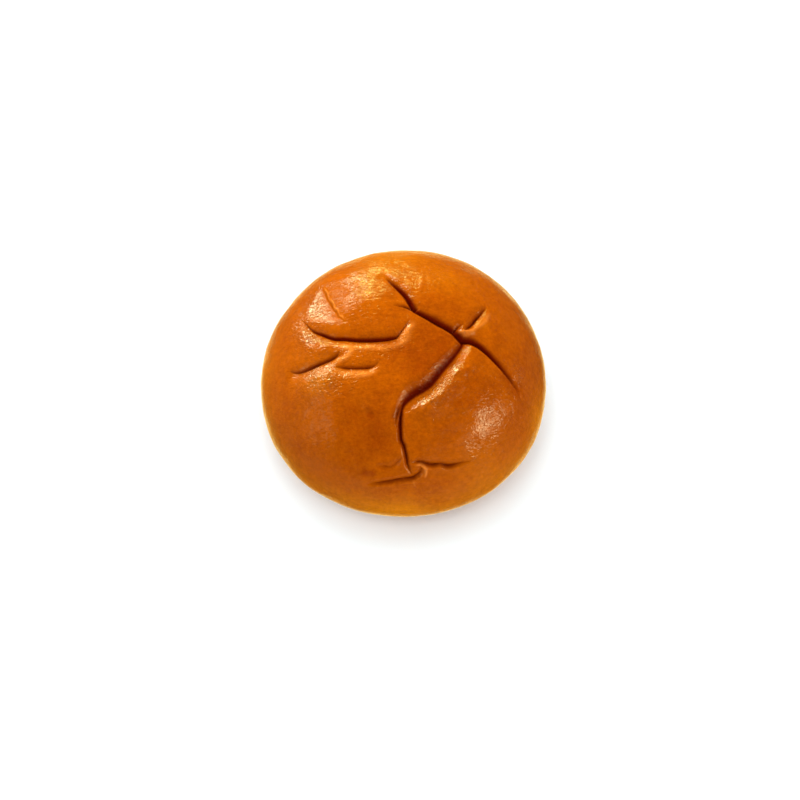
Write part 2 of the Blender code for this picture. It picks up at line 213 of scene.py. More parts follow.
RIDGES = {
    "facet_edge": Ridge(
        (
            (-24.9, 22.5, 0.0), (-24.2, 20.6, 0.3), (-23.4, 18.4, 0.4), (-23.0, 16.2, 0.3),
            (-22.1, 14.6, 0.45), (-21.3, 12.6, 0.35), (-20.9, 11.0, 0.45), (-19.9, 9.7, 0.4),
            (-19.4, 7.9, 0.35), (-18.3, 6.6, 0.3), (-17.7, 5.1, 0.0),
        ),
        0.4,
    ),
    "back_wall": Ridge(
        ((-2.0, 18.7, 0.0), (-0.5, 16.5, 0.3), (0.7, 14.4, 0.4), (1.9, 12.4, 0.4), (3.4, 9.9, 0.0)),
        0.7,
    ),
    "right_shoulder": Ridge(
        (
            (23.0, -3.2, 0.0), (21.5, -5.4, 0.5), (19.0, -10.3, 0.8), (15.2, -15.2, 1.1),
            (12.0, -19.6, 1.1), (8.9, -22.2, 1.3), (6.4, -23.8, 1.2), (5.2, -26.0, 0.5),
            (5.0, -29.0, 0.0),
        ),
        3.0,
    ),
    "left_ledge": Ridge(
        (
            (-33.0, 7.5, 0.1), (-31.6, 3.6, 0.3), (-28.6, -0.4, 0.5), (-25.2, -2.4, 0.3),
            (-21.6, -2.9, 0.1),
        ),
        2.4,
    ),
    "ledge_line": Ridge(
        ((-25.8, -2.4, 0.0), (-23.9, -2.5, 0.12), (-20.3, -2.6, 0.15), (-16.8, -3.1, 0.05)), 0.5
    ),
    "middle_ledge": Ridge(
        (
            (-19.5, -3.2, 0.0), (-16.6, -3.6, 0.2), (-12.0, -4.2, 0.25), (-8.0, -4.4, 0.2),
            (-5.0, -4.6, 0.0),
        ),
        1.4,
    ),
    "tuck_high": Ridge(
        ((-1.7, -3.1, 0.0), (-0.3, -0.8, 0.2), (1.1, 0.9, 0.25), (2.6, 2.8, 0.25), (3.2, 6.0, 0.0)),
        1.4,
    ),
    "tuck_low": Ridge(
        (
            (-7.3, -6.4, 0.0), (-5.6, -5.0, 0.12), (-1.4, -3.9, 0.15), (0.8, -2.4, 0.15),
            (2.3, 0.6, 0.0),
        ),
        1.2,
    ),
    "lobe_seam": Ridge(
        (
            (-20.9, -2.7, 0.15), (-17.9, -3.3, 0.25), (-16.0, -5.0, 0.25), (-16.5, -6.5, 0.35),
            (-18.2, -7.5, 0.4), (-20.5, -8.0, 0.4), (-21.7, -8.9, 0.1),
        ),
        0.9,
    ),
    "low_ledge": Ridge(
        (
            (-34.5, -9.6, 0.1), (-31.0, -12.2, 0.2), (-26.4, -13.0, 0.3), (-21.6, -13.2, 0.3),
            (-17.0, -14.2, 0.2), (-12.0, -15.0, 0.0),
        ),
        2.6,
    ),
    "middle_rim": Ridge(
        (
            (-19.4, -12.4, 0.1), (-15.4, -12.9, 0.2), (-11.2, -13.1, 0.25), (-8.4, -11.8, 0.2),
            (-6.8, -9.0, 0.0),
        ),
        1.4,
    ),
    "twig_lip": Ridge(
        (
            (18.4, 1.6, 0.2), (19.9, 2.0, 0.25), (21.4, 3.2, 0.25), (23.2, 4.9, 0.25),
            (24.8, 7.2, 0.25), (25.9, 9.6, 0.2), (26.6, 11.4, 0.0),
        ),
        0.7,
    ),
    "wedge": Ridge(((15.7, 0.6, 0.0), (17.2, 1.2, 0.5), (19.4, 1.4, 0.4), (22.4, 2.4, 0.0)), 0.9),
    "hook_lip": Ridge(
        (
            (2.2, -38.5, 0.0), (3.7, -38.0, 0.2), (5.1, -37.6, 0.35), (6.3, -38.3, 0.4),
            (6.6, -39.5, 0.4), (5.9, -40.7, 0.0),
        ),
        0.45,
    ),
    "front_mark": Ridge(((2.6, -40.8, 0.0), (3.1, -41.6, 0.2), (3.8, -42.4, 0.0)), 0.4),
    "back_wrinkle": Ridge(
        ((6.3, 24.5, 0.0), (5.6, 20.6, 0.12), (5.0, 17.0, 0.12), (3.9, 14.9, 0.0)), 0.7
    ),
}

# Broad swells and hollows of the crown: x, y, reach, height
SWELLS = (
    (22.0, -20.0, 13.0, 0.8), (14.0, -19.5, 8.0, 0.8), (-25.0, -16.5, 7.0, 0.9),
    (15.0, 19.0, 13.0, 0.9), (-20.0, -26.0, 14.0, 0.8), (-12.0, 11.0, 8.5, 0.8),
    (-11.4, -23.2, 1.0, 0.45), (-9.9, -25.0, 1.0, -0.4), (6.5, -3.5, 7.5, -0.6),
    (-5.0, -7.0, 6.0, -0.5), (-6.6, 22.9, 1.5, -0.45), (-7.5, -27.6, 2.6, -0.35),
    (-7.4, -32.0, 3.0, -0.4), (-6.0, -38.5, 5.0, -0.3), (12.0, -38.5, 5.0, -0.3),
)

# Where the crown is browner, or paler for a share under 0: x, y, reach, share. Partly real browning
# from the oven; partly painted shade, browner in soft grooves and beside small bumps; and partly
# painted light, paler on lit fold walls, along the sides and at the back.
BROWNING_AND_PAINTED_LIGHT = (
    (41.8, -15.2, 7.0, -0.7), (44.4, 0.0, 6.5, -0.6), (41.8, 15.2, 8.0, -0.3),
    (35.5, -29.5, 7.0, -0.3), (-34.1, 28.6, 8.0, -0.4), (-41.8, 15.2, 8.0, -0.5),
    (-44.4, 0.0, 8.0, -0.8), (-42.5, -15.4, 7.0, -0.7), (-35.5, -29.5, 6.0, -0.3),
    (7.0, -4.0, 13.0, 0.8), (18.0, -18.0, 10.0, 0.35), (31.2, -9.6, 2.6, 0.6),
    (33.6, -13.6, 3.2, 0.8), (-11.5, -39.0, 1.3, 0.9), (-9.2, -39.1, 1.3, 0.8),
    (-28.6, 1.6, 2.6, 0.5), (12.0, 20.0, 8.0, -0.2), (-25.0, -13.0, 5.0, -0.3),
    (1.5, 1.5, 3.0, -0.3), (23.6, 5.6, 2.5, -0.3), (-14.0, -27.0, 10.0, 0.4),
    (17.5, -7.5, 3.0, -0.4), (14.6, -12.8, 3.5, -0.5), (10.2, -18.0, 3.5, -0.5),
    (5.6, -21.3, 3.0, -0.3), (-9.9, -25.2, 1.1, 0.7), (-8.0, -28.5, 4.0, 0.45),
    (-8.5, -33.0, 4.0, 0.4), (-4.0, 36.0, 11.0, -0.45), (24.0, -36.0, 9.0, -0.25),
    (-2.0, -46.0, 8.0, -0.25),
)

# Where the skin is crinkled, mostly on the shoulders of the folds, or smoother than elsewhere for
# a share under 0: x, y, reach, share
CRINKLED = (
    (-28.5, 1.5, 5.0, 1.0), (-31.5, 7.0, 4.0, 0.8), (-26.0, -13.5, 6.5, 0.95),
    (-20.0, -16.0, 6.0, 0.6), (-14.0, -13.5, 4.0, 0.7), (16.0, -9.0, 3.4, 1.0),
    (12.2, -15.3, 3.6, 1.8), (7.5, -20.0, 4.0, 1.7), (-27.0, 12.0, 6.0, 0.5),
    (0.0, -1.5, 4.0, 1.0), (-5.0, -4.6, 4.0, 0.7), (14.0, 20.0, 9.0, 0.25),
    (-9.0, -3.5, 5.0, 0.5), (25.0, 7.5, 3.5, 0.5), (34.5, -7.5, 4.0, 1.0),
    (25.5, -27.0, 6.0, -0.35), (-17.0, -5.5, 4.5, 0.6), (6.0, 20.0, 6.0, 0.4),
    (-12.0, 20.0, 8.0, 0.3),
)

# Where the egg-wash glaze is thicker, or thinner for a share under 0: x, y, reach, share
GLAZED = (
    (-20.0, 15.6, 3.5, -0.75), (-17.6, 10.6, 4.0, -0.75), (-21.6, 20.4, 2.5, -0.5),
    (-20.8, 19.0, 3.0, -0.7), (-19.0, 24.5, 3.0, -0.6), (-13.1, 22.1, 3.2, 0.35),
    (-24.2, 16.2, 2.4, -0.6), (-22.2, 12.2, 2.0, -0.5), (-20.4, 8.6, 1.8, -0.5),
    (-24.6, 20.2, 2.2, -0.7), (-19.4, 6.6, 2.2, -0.8), (-22.6, 7.4, 1.6, -0.4),
    (-17.5, 17.5, 3.0, -0.7), (-17.0, 29.5, 3.5, -0.75), (17.0, 4.6, 2.0, -0.9),
    (-2.0, -22.0, 1.8, -0.7), (-25.0, -26.7, 5.0, -0.4), (0.0, -45.0, 12.0, -0.5),
    (-5.4, 22.6, 1.6, -0.8), (18.6, -6.0, 2.6, -0.7), (14.6, -12.4, 3.0, 2.3),
    (10.2, -17.8, 3.0, 3.4), (5.6, -21.2, 2.8, 2.8), (2.9, -23.4, 1.8, 0.8),
    (15.8, -18.6, 3.0, -1.5), (19.5, -15.0, 3.0, -0.9), (18.6, -11.4, 1.8, -1.2),
    (14.2, -20.6, 2.2, -1.2), (14.5, -3.5, 2.4, -0.9), (11.7, -7.5, 2.2, -0.6),
    (21.0, -20.5, 3.0, -0.4), (26.5, -27.5, 6.0, 0.3), (-27.0, 12.4, 3.5, 0.5),
    (-24.6, -13.0, 5.5, 1.7), (-28.0, -10.4, 2.6, 0.8), (-28.6, 1.2, 2.2, 1.2),
    (-13.0, -12.6, 3.0, -0.8), (-17.0, -5.8, 3.0, -0.6), (-5.5, -4.6, 4.0, -0.4),
    (0.5, -0.8, 3.5, -0.5), (-6.0, -38.2, 3.0, -0.8), (-2.2, -29.5, 1.6, -0.8),
    (-1.6, -33.0, 1.4, -0.8), (-0.2, -36.6, 1.4, -0.6), (34.5, -7.5, 4.0, 0.5),
    (35.1, -13.2, 2.2, -1.0), (-11.8, -22.8, 1.0, 2.0), (-20.8, 26.0, 3.0, -0.8),
    (-24.5, 25.0, 3.0, -0.8),
)

# Where the glaze dried in fine rings: x, y, reach, share
RINGED = ((25.0, -26.5, 7.0, 1.0),)
RING_CENTRE = (27.0, -23.5, 34.0)

SPOTS = {"baked": BROWNING_AND_PAINTED_LIGHT, "crinkled": CRINKLED, "glazed": GLAZED, "ringed": RINGED}

# A flat three-cornered place beside the left folds: its corners in plan, anticlockwise, with how
# far each stands off the crown, and how softly the crown runs into it over each side
FACET_CORNERS = ((-24.8, 21.4, -0.2), (-30.1, 9.1, 0.2), (-18.4, 5.8, -0.1))
FACET_SOFTNESS = (5.0, 2.0, 2.0)

# Uneven dough: the size of its lumps and how far they stand out
LUMPS = ((9.0, 0.3), (3.6, 0.09), (1.5, 0.035))

# How closely the mesh follows the folds: within this far, edges longer than this are halved
REFINEMENTS = ((3.0, 0.45), (1.1, 0.22))
SNAP = 0.06  # points this near a fold's line move onto it


def bun_profile(size):
    """Half of the smooth bun's outline, from the top's middle down and under to the base's."""
    turn = np.linspace(0.0, math.pi / 2, PROFILE_STEPS)
    power = 2 / size.crown_fullness
    half, base, belt = size.width / MM / 2, size.base_width / MM / 2, size.belt_height / MM
    crown_r = half * np.sin(turn) ** power
    crown_z = belt + (size.height / MM - belt) * np.cos(turn) ** power
    foot_r = base + (half - base) * np.cos(turn)
    foot_z = belt * (1 - np.sin(turn))
    flat_r = np.linspace(base, 0.0, PROFILE_STEPS)
    radius = np.concatenate((crown_r, foot_r[1:], flat_r[1:]))
    height = np.concatenate((crown_z, foot_z[1:], 0 * flat_r[1:]))
    return radius, height


def outline_stretch(angle):
    """How far the outline stands out at an angle, 1 being a true circle."""
    waves = [c * np.cos(n * angle) + s * np.sin(n * angle) for n, c, s in OUTLINE_WAVES]
    return 1.0 + sum(waves)


def place_on_bun(directions, size):
    """Points of the smooth bun for unit directions. The sphere's area is shared out down the
    profile, with less of it under the bun."""
    radius, height = bun_profile(size)
    step = np.hypot(np.diff(radius), np.diff(height))
    middle = (radius[1:] + radius[:-1]) / 2
    weight = np.where(height[1:] > size.belt_height / MM / 2, 1.0, BASE_SHARE)
    share = np.concatenate(((0.0,), np.cumsum(step * middle * weight)))
    share /= share[-1]
    wanted = (1 - directions[:, 2]) / 2
    r = np.interp(wanted, share, radius)
    z = np.interp(wanted, share, height)
    angle = np.arctan2(directions[:, 1], directions[:, 0])
    r = r * outline_stretch(angle)
    return np.column_stack((r * np.cos(angle), r * np.sin(angle), z))


def crown_height(x, y, size):
    """Height of the smooth crown over a point of the plan."""
    half, belt = size.width / MM / 2, size.belt_height / MM
    r = np.hypot(x, y) / outline_stretch(np.arctan2(y, x)) / half
    power = size.crown_fullness
    return belt + (size.height / MM - belt) * np.clip(1 - r**power, 0, None) ** (1 / power)


def smooth_route(points):
    """A route's points joined by a Catmull-Rom curve."""
    p = np.array(points, dtype=float)
    p = np.vstack((2 * p[0] - p[1], p, 2 * p[-1] - p[-2]))
    t = np.linspace(0, 1, ROUTE_STEPS, endpoint=False)[:, None]
    spans = []
    for a, b, c, d in zip(p, p[1:], p[2:], p[3:]):
        cubic = 3 * b - a - 3 * c + d
        square = 2 * a - 5 * b + 4 * c - d
        spans.append(0.5 * (2 * b + (c - a) * t + square * t**2 + cubic * t**3))
    return np.vstack((*spans, p[-2]))


def lay_route(route, size):
    """A route's line on the smooth crown, and the last value of its points along it."""
    x, y, value = smooth_route(route).T
    line = np.column_stack((x, y, crown_height(x, y, size)))
    return line, np.clip(value, 0, None)


def nearest_on_line(points, line, reach):
    """For each point: its distance to the line, the nearest place as a position along it, and
    that place itself. Points outside the line's reach keep an endless distance."""
    best = np.full(len(points), np.inf)
    place = np.zeros(len(points))
    foot = np.zeros_like(points)
    low, high = line.min(axis=0) - reach, line.max(axis=0) + reach
    near = np.flatnonzero(((points > low) & (points < high)).all(axis=1))
    for i, (a, d) in enumerate(zip(line[:-1], np.diff(line, axis=0))):
        t = np.clip((points[near] - a) @ d / (d @ d), 0, 1)
        on_line = a + t[:, None] * d
        far = np.linalg.norm(points[near] - on_line, axis=1)
        closer = far < best[near]
        index = near[closer]
        best[index] = far[closer]
        place[index] = i + t[closer]
        foot[index] = on_line[closer]
    return best, place, foot


def wall_depth(distance, reach, fullness):
    """A puffed wall, from the fold's sharp foot out to the open crown."""
    inner = np.clip(1 - distance / reach, 0, 1)
    return 1 - (1 - inner**fullness) ** (1 / fullness)


def fold_relief(points, normals, fold, waver, size):
    """One fold's depth and its lips' height at each point, and how much painted shade darkens it
    there, 0 to 1.
    """
    line, depth = lay_route(fold.route, size)
    widest = max(fold.left.reach, fold.right.reach)
    distance, place, foot = nearest_on_line(points, line, max(2 * widest, SLOPE_RUN))
    heading = np.gradient(line, axis=0)[np.round(place).astype(int)]
    left = np.einsum("ij,ij->i", np.cross(normals, heading), points - foot) > 0
    sides = zip(fold.left, fold.right)
    reach, fullness, lip, slope, dark = (np.where(left, *values) for values in sides)
    here = np.interp(place, np.arange(len(line)), depth)
    share = here / depth.max()
    distance = np.minimum(distance, FAR)
    wall = reach * (FOLD_TIP + (1 - FOLD_TIP) * share) * waver
    inside = wall_depth(distance, wall, fullness)
    sunk = (1 - slope) * inside + slope * np.clip(1 - distance / SLOPE_RUN, 0, 1) ** 2
    crest = np.exp(-(((distance - LIP_PLACE * wall) / (LIP_WIDTH * wall)) ** 2))
    foot_width = dark * (DARK_TIP + (1 - DARK_TIP) * share)
    shade = np.clip(here / DARK_DEPTH, 0, 1) * np.clip(1 - distance / foot_width, 0, 1)
    return here * sunk, lip * share * crest, shade


def ridge_relief(points, ridge, size):
    """One ridge's height at each point."""
    line, height = lay_route(ridge.route, size)
    distance, place, _ = nearest_on_line(points, line, RIDGE_TAIL * ridge.reach)
    here = np.interp(place, np.arange(len(line)), height)
    return here * np.exp(-((np.minimum(distance, FAR) / ridge.reach) ** 2))


def facet_relief(points, size):
    """How far the crown is moved to the plane through the facet's corners."""
    x, y, rise = np.array(FACET_CORNERS).T
    corners = np.column_stack((x, y, crown_height(x, y, size) + rise))
    up = np.cross(corners[1] - corners[0], corners[2] - corners[0])
    up /= np.linalg.norm(up)
    above = (points - corners[0]) @ up
    for start, end, softness in zip(corners, np.roll(corners, -1, axis=0), FACET_SOFTNESS):
        inward = np.cross(up, end - start)
        inward /= np.linalg.norm(inward)
        above = above * smooth_step((points - start) @ inward / softness + 0.5)
    return -above


def smooth_step(value):
    """0 below 0 and 1 above 1, with a smooth run between."""
    value = np.clip(value, 0, 1)
    return value * value * (3 - 2 * value)


def lumpiness(points, lump):
    """Smooth noise about -1 to 1 with lumps of a size."""
    return np.array([noise.noise(Vector(p) / lump) for p in points])


def spread_spots(points, spots, size):
    """The sum at each point of round soft-edged spots on the crown."""
    total = np.zeros(len(points))
    for x, y, reach, value in spots:
        away = np.linalg.norm(points - (x, y, crown_height(x, y, size)), axis=1)
        total += value * np.exp(-((away / reach) ** 2))
    return total


def crown_relief(points, normals, size):
    """How far each point of the smooth bun moves out along its normal, how much painted shade a
    fold puts there, and how high a lip stands there."""
    deep = np.zeros(len(points))
    raised = np.zeros(len(points))
    lips = np.zeros(len(points))
    shade = np.zeros(len(points))
    waver = 1 + WAVER * lumpiness(points, WAVER_LUMP)
    for fold in FOLDS.values():
        depth, lip, dark = fold_relief(points, normals, fold, waver, size)
        deep += depth**BLEND_POWER
        raised += lip
        lips += lip
        shade = np.maximum(shade, dark)
    patchy = 1 + PATCHINESS * lumpiness(points, PATCH_LUMP)
    for ridge in RIDGES.values():
        height = patchy * ridge_relief(points, ridge, size)
        raised += height
        if ridge.reach < BROAD_RIDGE:
            lips += height
    relief = raised - deep ** (1 / BLEND_POWER) + facet_relief(points, size)
    relief += spread_spots(points, SWELLS, size)
    for lump, height in LUMPS:
        relief += height * lumpiness(points, lump)
    belt, top = size.belt_height / MM, size.height / MM
    crown = np.clip((points[:, 2] - RELIEF_FOOT * belt) / (RELIEF_RUN * (top - belt)), 0, 1)
    return relief * crown, shade * crown, lips * crown


def vertex_array(bm):
    return np.array([v.co[:] for v in bm.verts])


def refine_near_folds(bm, size, within, longest):
    """Halve the longer edges near the folds, on the unit sphere."""
    bm.verts.index_update()
    placed = place_on_bun(vertex_array(bm), size)
    ends = np.array([[v.index for v in e.verts] for e in bm.edges])
    middles = placed[ends].mean(axis=1)
    lengths = np.linalg.norm(placed[ends[:, 0]] - placed[ends[:, 1]], axis=1)
    away = np.full(len(middles), np.inf)
    for crease in (*FOLDS.values(), *RIDGES.values()):
        line = lay_route(crease.route, size)[0]
        away = np.minimum(away, nearest_on_line(middles, line, within)[0])
    wanted = (away < within) & (lengths > longest)
    edges = [e for e, w in zip(bm.edges, wanted) if w]
    bmesh.ops.subdivide_edges(bm, edges=edges, cuts=1)
    bmesh.ops.triangulate(bm, faces=bm.faces)
    for v in bm.verts:
        v.co.normalize()


def snap_to_folds(points, size):
    """Points close to a fold's line slide onto it, so that its foot is one clean line."""
    for fold in FOLDS.values():
        line = lay_route(fold.route, size)[0]
        distance, _, foot = nearest_on_line(points, line, SNAP)
        close = distance < SNAP
        points[close] = foot[close]
    return points


def fit_to_frame(points):
    """Centre the points on the frame's bun and take up the last difference in size."""
    low, high = np.array(BUN_LOW) / MM, np.array(BUN_HIGH) / MM
    own_low, own_high = points.min(axis=0), points.max(axis=0)
    return low + (points - own_low) * (high - low) / (own_high - own_low)


def shape_bun(size):
    """The bun's mesh: a sphere's triangles laid over the smooth bun and pressed into folds."""
    bm = bmesh.new()
    bmesh.ops.create_icosphere(bm, subdivisions=size.detail, radius=1.0)
    for within, longest in REFINEMENTS:
        refine_near_folds(bm, size, within, longest)
    smooth = snap_to_folds(place_on_bun(vertex_array(bm), size), size)
    for v, place in zip(bm.verts, smooth):
        v.co = place
    bm.normal_update()
    normals = np.array([v.normal[:] for v in bm.verts])
    relief, shade, lips = crown_relief(smooth, normals, size)
    shaped = fit_to_frame(smooth + normals * relief[:, None])
    for v, place in zip(bm.verts, shaped):
        v.co = place * MM
    bmesh.ops.recalc_face_normals(bm, faces=bm.faces)
    mesh = bpy.data.meshes.new("baked_bun")
    bm.to_mesh(mesh)
    bm.free()
    masks = {"fold": shade, "lip": lips}
    for name, spots in SPOTS.items():
        masks[name] = spread_spots(smooth, spots, size)
    for name, values in masks.items():
        attribute = mesh.attributes.new(name, "FLOAT", "POINT")
        attribute.data.foreach_set("value", values.astype(np.float32))
    mesh.shade_smooth()
    return mesh


# --- Node helpers and finishes ---

MIX_COLOURS = (6, 7)  # where a Mix node takes its two colours
MIX_RESULT = 2  # and where it gives the mixed one

# The crust's noises, the finest last. Their scale is about how many waves a metre holds.
Texture = namedtuple("Texture", "scale detail roughness distortion")
PATCHES = Texture(45.0, 4.0, 0.55, 0.0)
CLOUDS = Texture(150.0, 3.0, 0.55, 0.0)
DIMPLES = Texture(300.0, 1.0, 0.55, 0.0)
SMEARS = Texture(330.0, 3.0, 0.55, 0.0)
GRAIN = Texture(650.0, 3.0, 0.75, 0.0)
FRECKLES = Texture(900.0, 4.0, 0.75, 0.0)
WRINKLES = Texture(1100.0, 2.0, 0.5, 0.6)
SPECKLES = Texture(1400.0, 1.0, 0.55, 0.0)
CRACKLE = Texture(1500.0, 1.0, 0.55, 0.8)
WRINKLE_STRETCH = (0.6, 1.2, 1.2)  # the wrinkles run longer from left to right
CRACKLE_WRINKLES = 1.4  # how much crinkled skin adds to the wrinkles
RINGS = {"Scale": 290.0, "Distortion": 9.0, "Detail": 2.0}
RING_HEIGHT = 0.09  # beside the wrinkles' height

# How a noise or a mask is read: its low and high end, and what they turn into
CLOUDS_BROWN = (0.35, 0.7, -0.14, 0.24)
FRECKLES_BROWN = (0.3, 0.7, -0.14, 0.3)
# The lips' paler crest colour is partly real stretched crust and partly a painted highlight on the
# lit crests
LIPS_PALE_AND_LIT = (0.06, 0.42, 0.0, 1.3)
# how the folds' painted shade is read from the fold mask
FOLDS_PAINTED_SHADE = (0.08, 0.7, 0.0, 1.0)
GRAIN_SHADE = (0.25, 0.75, 0.87, 1.13)
SMEARS_THICK = (0.35, 0.65, 0.5, 1.5)
SPECKLES_THICK = (0.36, 0.64, -0.8, 0.8)
FOLDS_DULL = (0.2, 0.6, 1.0, 0.2)

FLANK_RISE = (0.1, 0.6)  # shares of the height between which gold turns brown
FLANK_WANDER = 0.01  # how far up and down that wanders, in metres
BASE_RISE = (0.02, 0.12)  # shares of the height between which the dry base ends
BASE_ROUGHNESS = 0.75
# Crinkled skin, on the lit shoulders of the folds, takes the crest colour too: partly a painted
# highlight
CRINKLE_PALE_AND_LIT = 0.08  # crinkled skin is as pale as a lip this high
CRINKLE_ROUGHNESS = 0.09  # what it adds to the glaze's roughness
THINNEST_GLAZE = 0.1  # beside 1 where no spot changes it


def add_node(tree, kind, **values):
    """A shader node with its plain attributes set."""
    node = tree.nodes.new(kind)
    for name, value in values.items():
        setattr(node, name, value)
    return node


def noise_node(tree, coordinates, texture):
    """A noise's value, which lies around 0.5."""
    node = add_node(tree, "ShaderNodeTexNoise")
    for name, number in texture._asdict().items():
        node.inputs[name.title()].default_value = number
    tree.links.new(coordinates, node.inputs["Vector"])
    return node.outputs["Fac"]


def remap_node(tree, value, low, high, to_low, to_high):
    """A smooth run from one value to another while the input runs from low to high."""
    node = add_node(tree, "ShaderNodeMapRange", interpolation_type="SMOOTHSTEP")
    numbers = {"From Min": low, "From Max": high, "To Min": to_low, "To Max": to_high}
    for name, number in numbers.items():
        node.inputs[name].default_value = number
    tree.links.new(value, node.inputs["Value"])
    return node.outputs["Result"]


def math_node(tree, operation, *values):
    """Arithmetic on two or three values, each a number or a socket."""
    node = add_node(tree, "ShaderNodeMath", operation=operation)
    for socket, value in zip(node.inputs, values):
        if isinstance(value, (int, float)):
            socket.default_value = value
        else:
            tree.links.new(value, socket)
    return node.outputs["Value"]


def vector_node(tree, operation, vector, fixed):
    """Vector arithmetic on a socket and a fixed vector."""
    node = add_node(tree, "ShaderNodeVectorMath", operation=operation)
    tree.links.new(vector, node.inputs[0])
    node.inputs[1].default_value = fixed
    return node


def mix_colours(tree, factor, first, second):
    """The first colour, or the second where the factor is 1."""
    node = add_node(tree, "ShaderNodeMix", data_type="RGBA")
    tree.links.new(factor, node.inputs["Factor"])
    for index, value in zip(MIX_COLOURS, (first, second)):
        if isinstance(value, bpy.types.NodeSocket):
            tree.links.new(value, node.inputs[index])
        else:
            node.inputs[index].default_value = (*value, 1.0)
    return node.outputs[MIX_RESULT]


def crust_masks(tree, place, size):
    """Sockets by name: the mesh's masks, the height, the dry base and the ruffled skin."""
    masks = {
        name: add_node(tree, "ShaderNodeAttribute", attribute_name=name).outputs["Fac"]
        for name in ("fold", "lip", *SPOTS)
    }
    axes = add_node(tree, "ShaderNodeSeparateXYZ")
    tree.links.new(place, axes.inputs[0])
    masks["height"] = axes.outputs["Z"]
    low, high = (share * size.height for share in BASE_RISE)
    masks["base"] = remap_node(tree, masks["height"], low, high, 1.0, 0.0)
    ruffled = math_node(tree, "MAXIMUM", masks["crinkled"], 0.0)
    masks["ruffled"] = math_node(tree, "MINIMUM", ruffled, 1.0)
    return masks


def crust_colour(tree, place, masks, finish, size):
    """Golden flank, deep brown crown, browner clouds and freckles, spots of painted light and
    shade, lips paler and partly painted lighter, painted shade in the folds.
    """
    patches = noise_node(tree, place, PATCHES)
    wander = math_node(tree, "MULTIPLY_ADD", patches, FLANK_WANDER, -FLANK_WANDER / 2)
    height = math_node(tree, "ADD", masks["height"], wander)
    low, high = (share * size.height for share in FLANK_RISE)
    # Spots under 0 pale the crust: partly real, partly painted light on lit fold walls and along
    # the sides. Spots over 0 brown it: partly real browning, partly painted shade in soft grooves
    # and beside small bumps.
    paler = math_node(tree, "MINIMUM", masks["baked"], 0.0)
    browned = math_node(tree, "ADD", remap_node(tree, height, low, high, 0.0, 1.0), paler)
    freckles = remap_node(tree, noise_node(tree, place, FRECKLES), *FRECKLES_BROWN)
    clouds = remap_node(tree, noise_node(tree, place, CLOUDS), *CLOUDS_BROWN)
    browner = math_node(tree, "ADD", math_node(tree, "ADD", freckles, masks["baked"]), clouds)
    # Paler crests: partly real stretched crust, partly a painted highlight on the lit lips and
    # crinkled shoulders
    raised = math_node(tree, "MULTIPLY_ADD", masks["crinkled"], CRINKLE_PALE_AND_LIT, masks["lip"])
    crest = math_node(tree, "MULTIPLY", remap_node(tree, raised, *LIPS_PALE_AND_LIT), patches)
    layers = (
        (browned, finish.crown_colour),
        (browner, finish.brown_colour),
        (crest, finish.crest_colour),
        (masks["base"], finish.base_colour),
        # painted shade deep in the folds
        (remap_node(tree, masks["fold"], *FOLDS_PAINTED_SHADE), finish.fold_colour),
    )
    colour = finish.flank_colour
    for share, over in layers:
        colour = mix_colours(tree, share, colour, over)
    shaded = add_node(tree, "ShaderNodeVectorMath", operation="SCALE")
    tree.links.new(colour, shaded.inputs["Vector"])
    grain = remap_node(tree, noise_node(tree, place, GRAIN), *GRAIN_SHADE)
    tree.links.new(grain, shaded.inputs["Scale"])
    return shaded.outputs["Vector"]


def crust_roughness(tree, masks, finish):
    """Smooth glaze, duller where the skin is crinkled, and a matt base."""
    matt = remap_node(tree, masks["base"], 0.0, 1.0, finish.roughness, BASE_ROUGHNESS)
    return math_node(tree, "MULTIPLY_ADD", masks["ruffled"], CRINKLE_ROUGHNESS, matt)


def crust_gloss(tree, place, masks, finish):
    """The glaze's mirror strength: smeared, speckled on crinkled skin, thin down in the folds."""
    gloss = math_node(tree, "MAXIMUM", math_node(tree, "ADD", masks["glazed"], 1.0), THINNEST_GLAZE)
    smears = remap_node(tree, noise_node(tree, place, SMEARS), *SMEARS_THICK)
    speckles = remap_node(tree, noise_node(tree, place, SPECKLES), *SPECKLES_THICK)
    speckles = math_node(tree, "MULTIPLY_ADD", speckles, masks["ruffled"], 1.0)
    sheltered = remap_node(tree, masks["fold"], *FOLDS_DULL)
    for factor in (smears, speckles, sheltered, finish.gloss):
        gloss = math_node(tree, "MULTIPLY", gloss, factor)
    return gloss


def ring_waves(tree, place):
    """Fine uneven rings round the middle of the ringed glaze."""
    centre = [value * MM for value in RING_CENTRE]
    away = vector_node(tree, "SUBTRACT", place, centre).outputs["Vector"]
    rings = add_node(tree, "ShaderNodeTexWave", wave_type="RINGS", rings_direction="SPHERICAL")
    tree.links.new(away, rings.inputs["Vector"])
    for name, value in RINGS.items():
        rings.inputs[name].default_value = value
    return math_node(tree, "MULTIPLY", rings.outputs["Fac"], RING_HEIGHT)


def crust_skin(tree, place, masks):
    """How high the wrinkles, dimples, crackle and rings of the skin stand together."""
    stretched = vector_node(tree, "MULTIPLY", place, WRINKLE_STRETCH).outputs["Vector"]
    wrinkles = noise_node(tree, stretched, WRINKLES)
    crackle = noise_node(tree, place, CRACKLE)
    crackle = math_node(tree, "MULTIPLY_ADD", wrinkles, CRACKLE_WRINKLES, crackle)
    skin = math_node(tree, "MULTIPLY_ADD", crackle, masks["crinkled"], wrinkles)
    skin = math_node(tree, "ADD", skin, noise_node(tree, place, DIMPLES))
    return math_node(tree, "MULTIPLY_ADD", ring_waves(tree, place), masks["ringed"], skin)


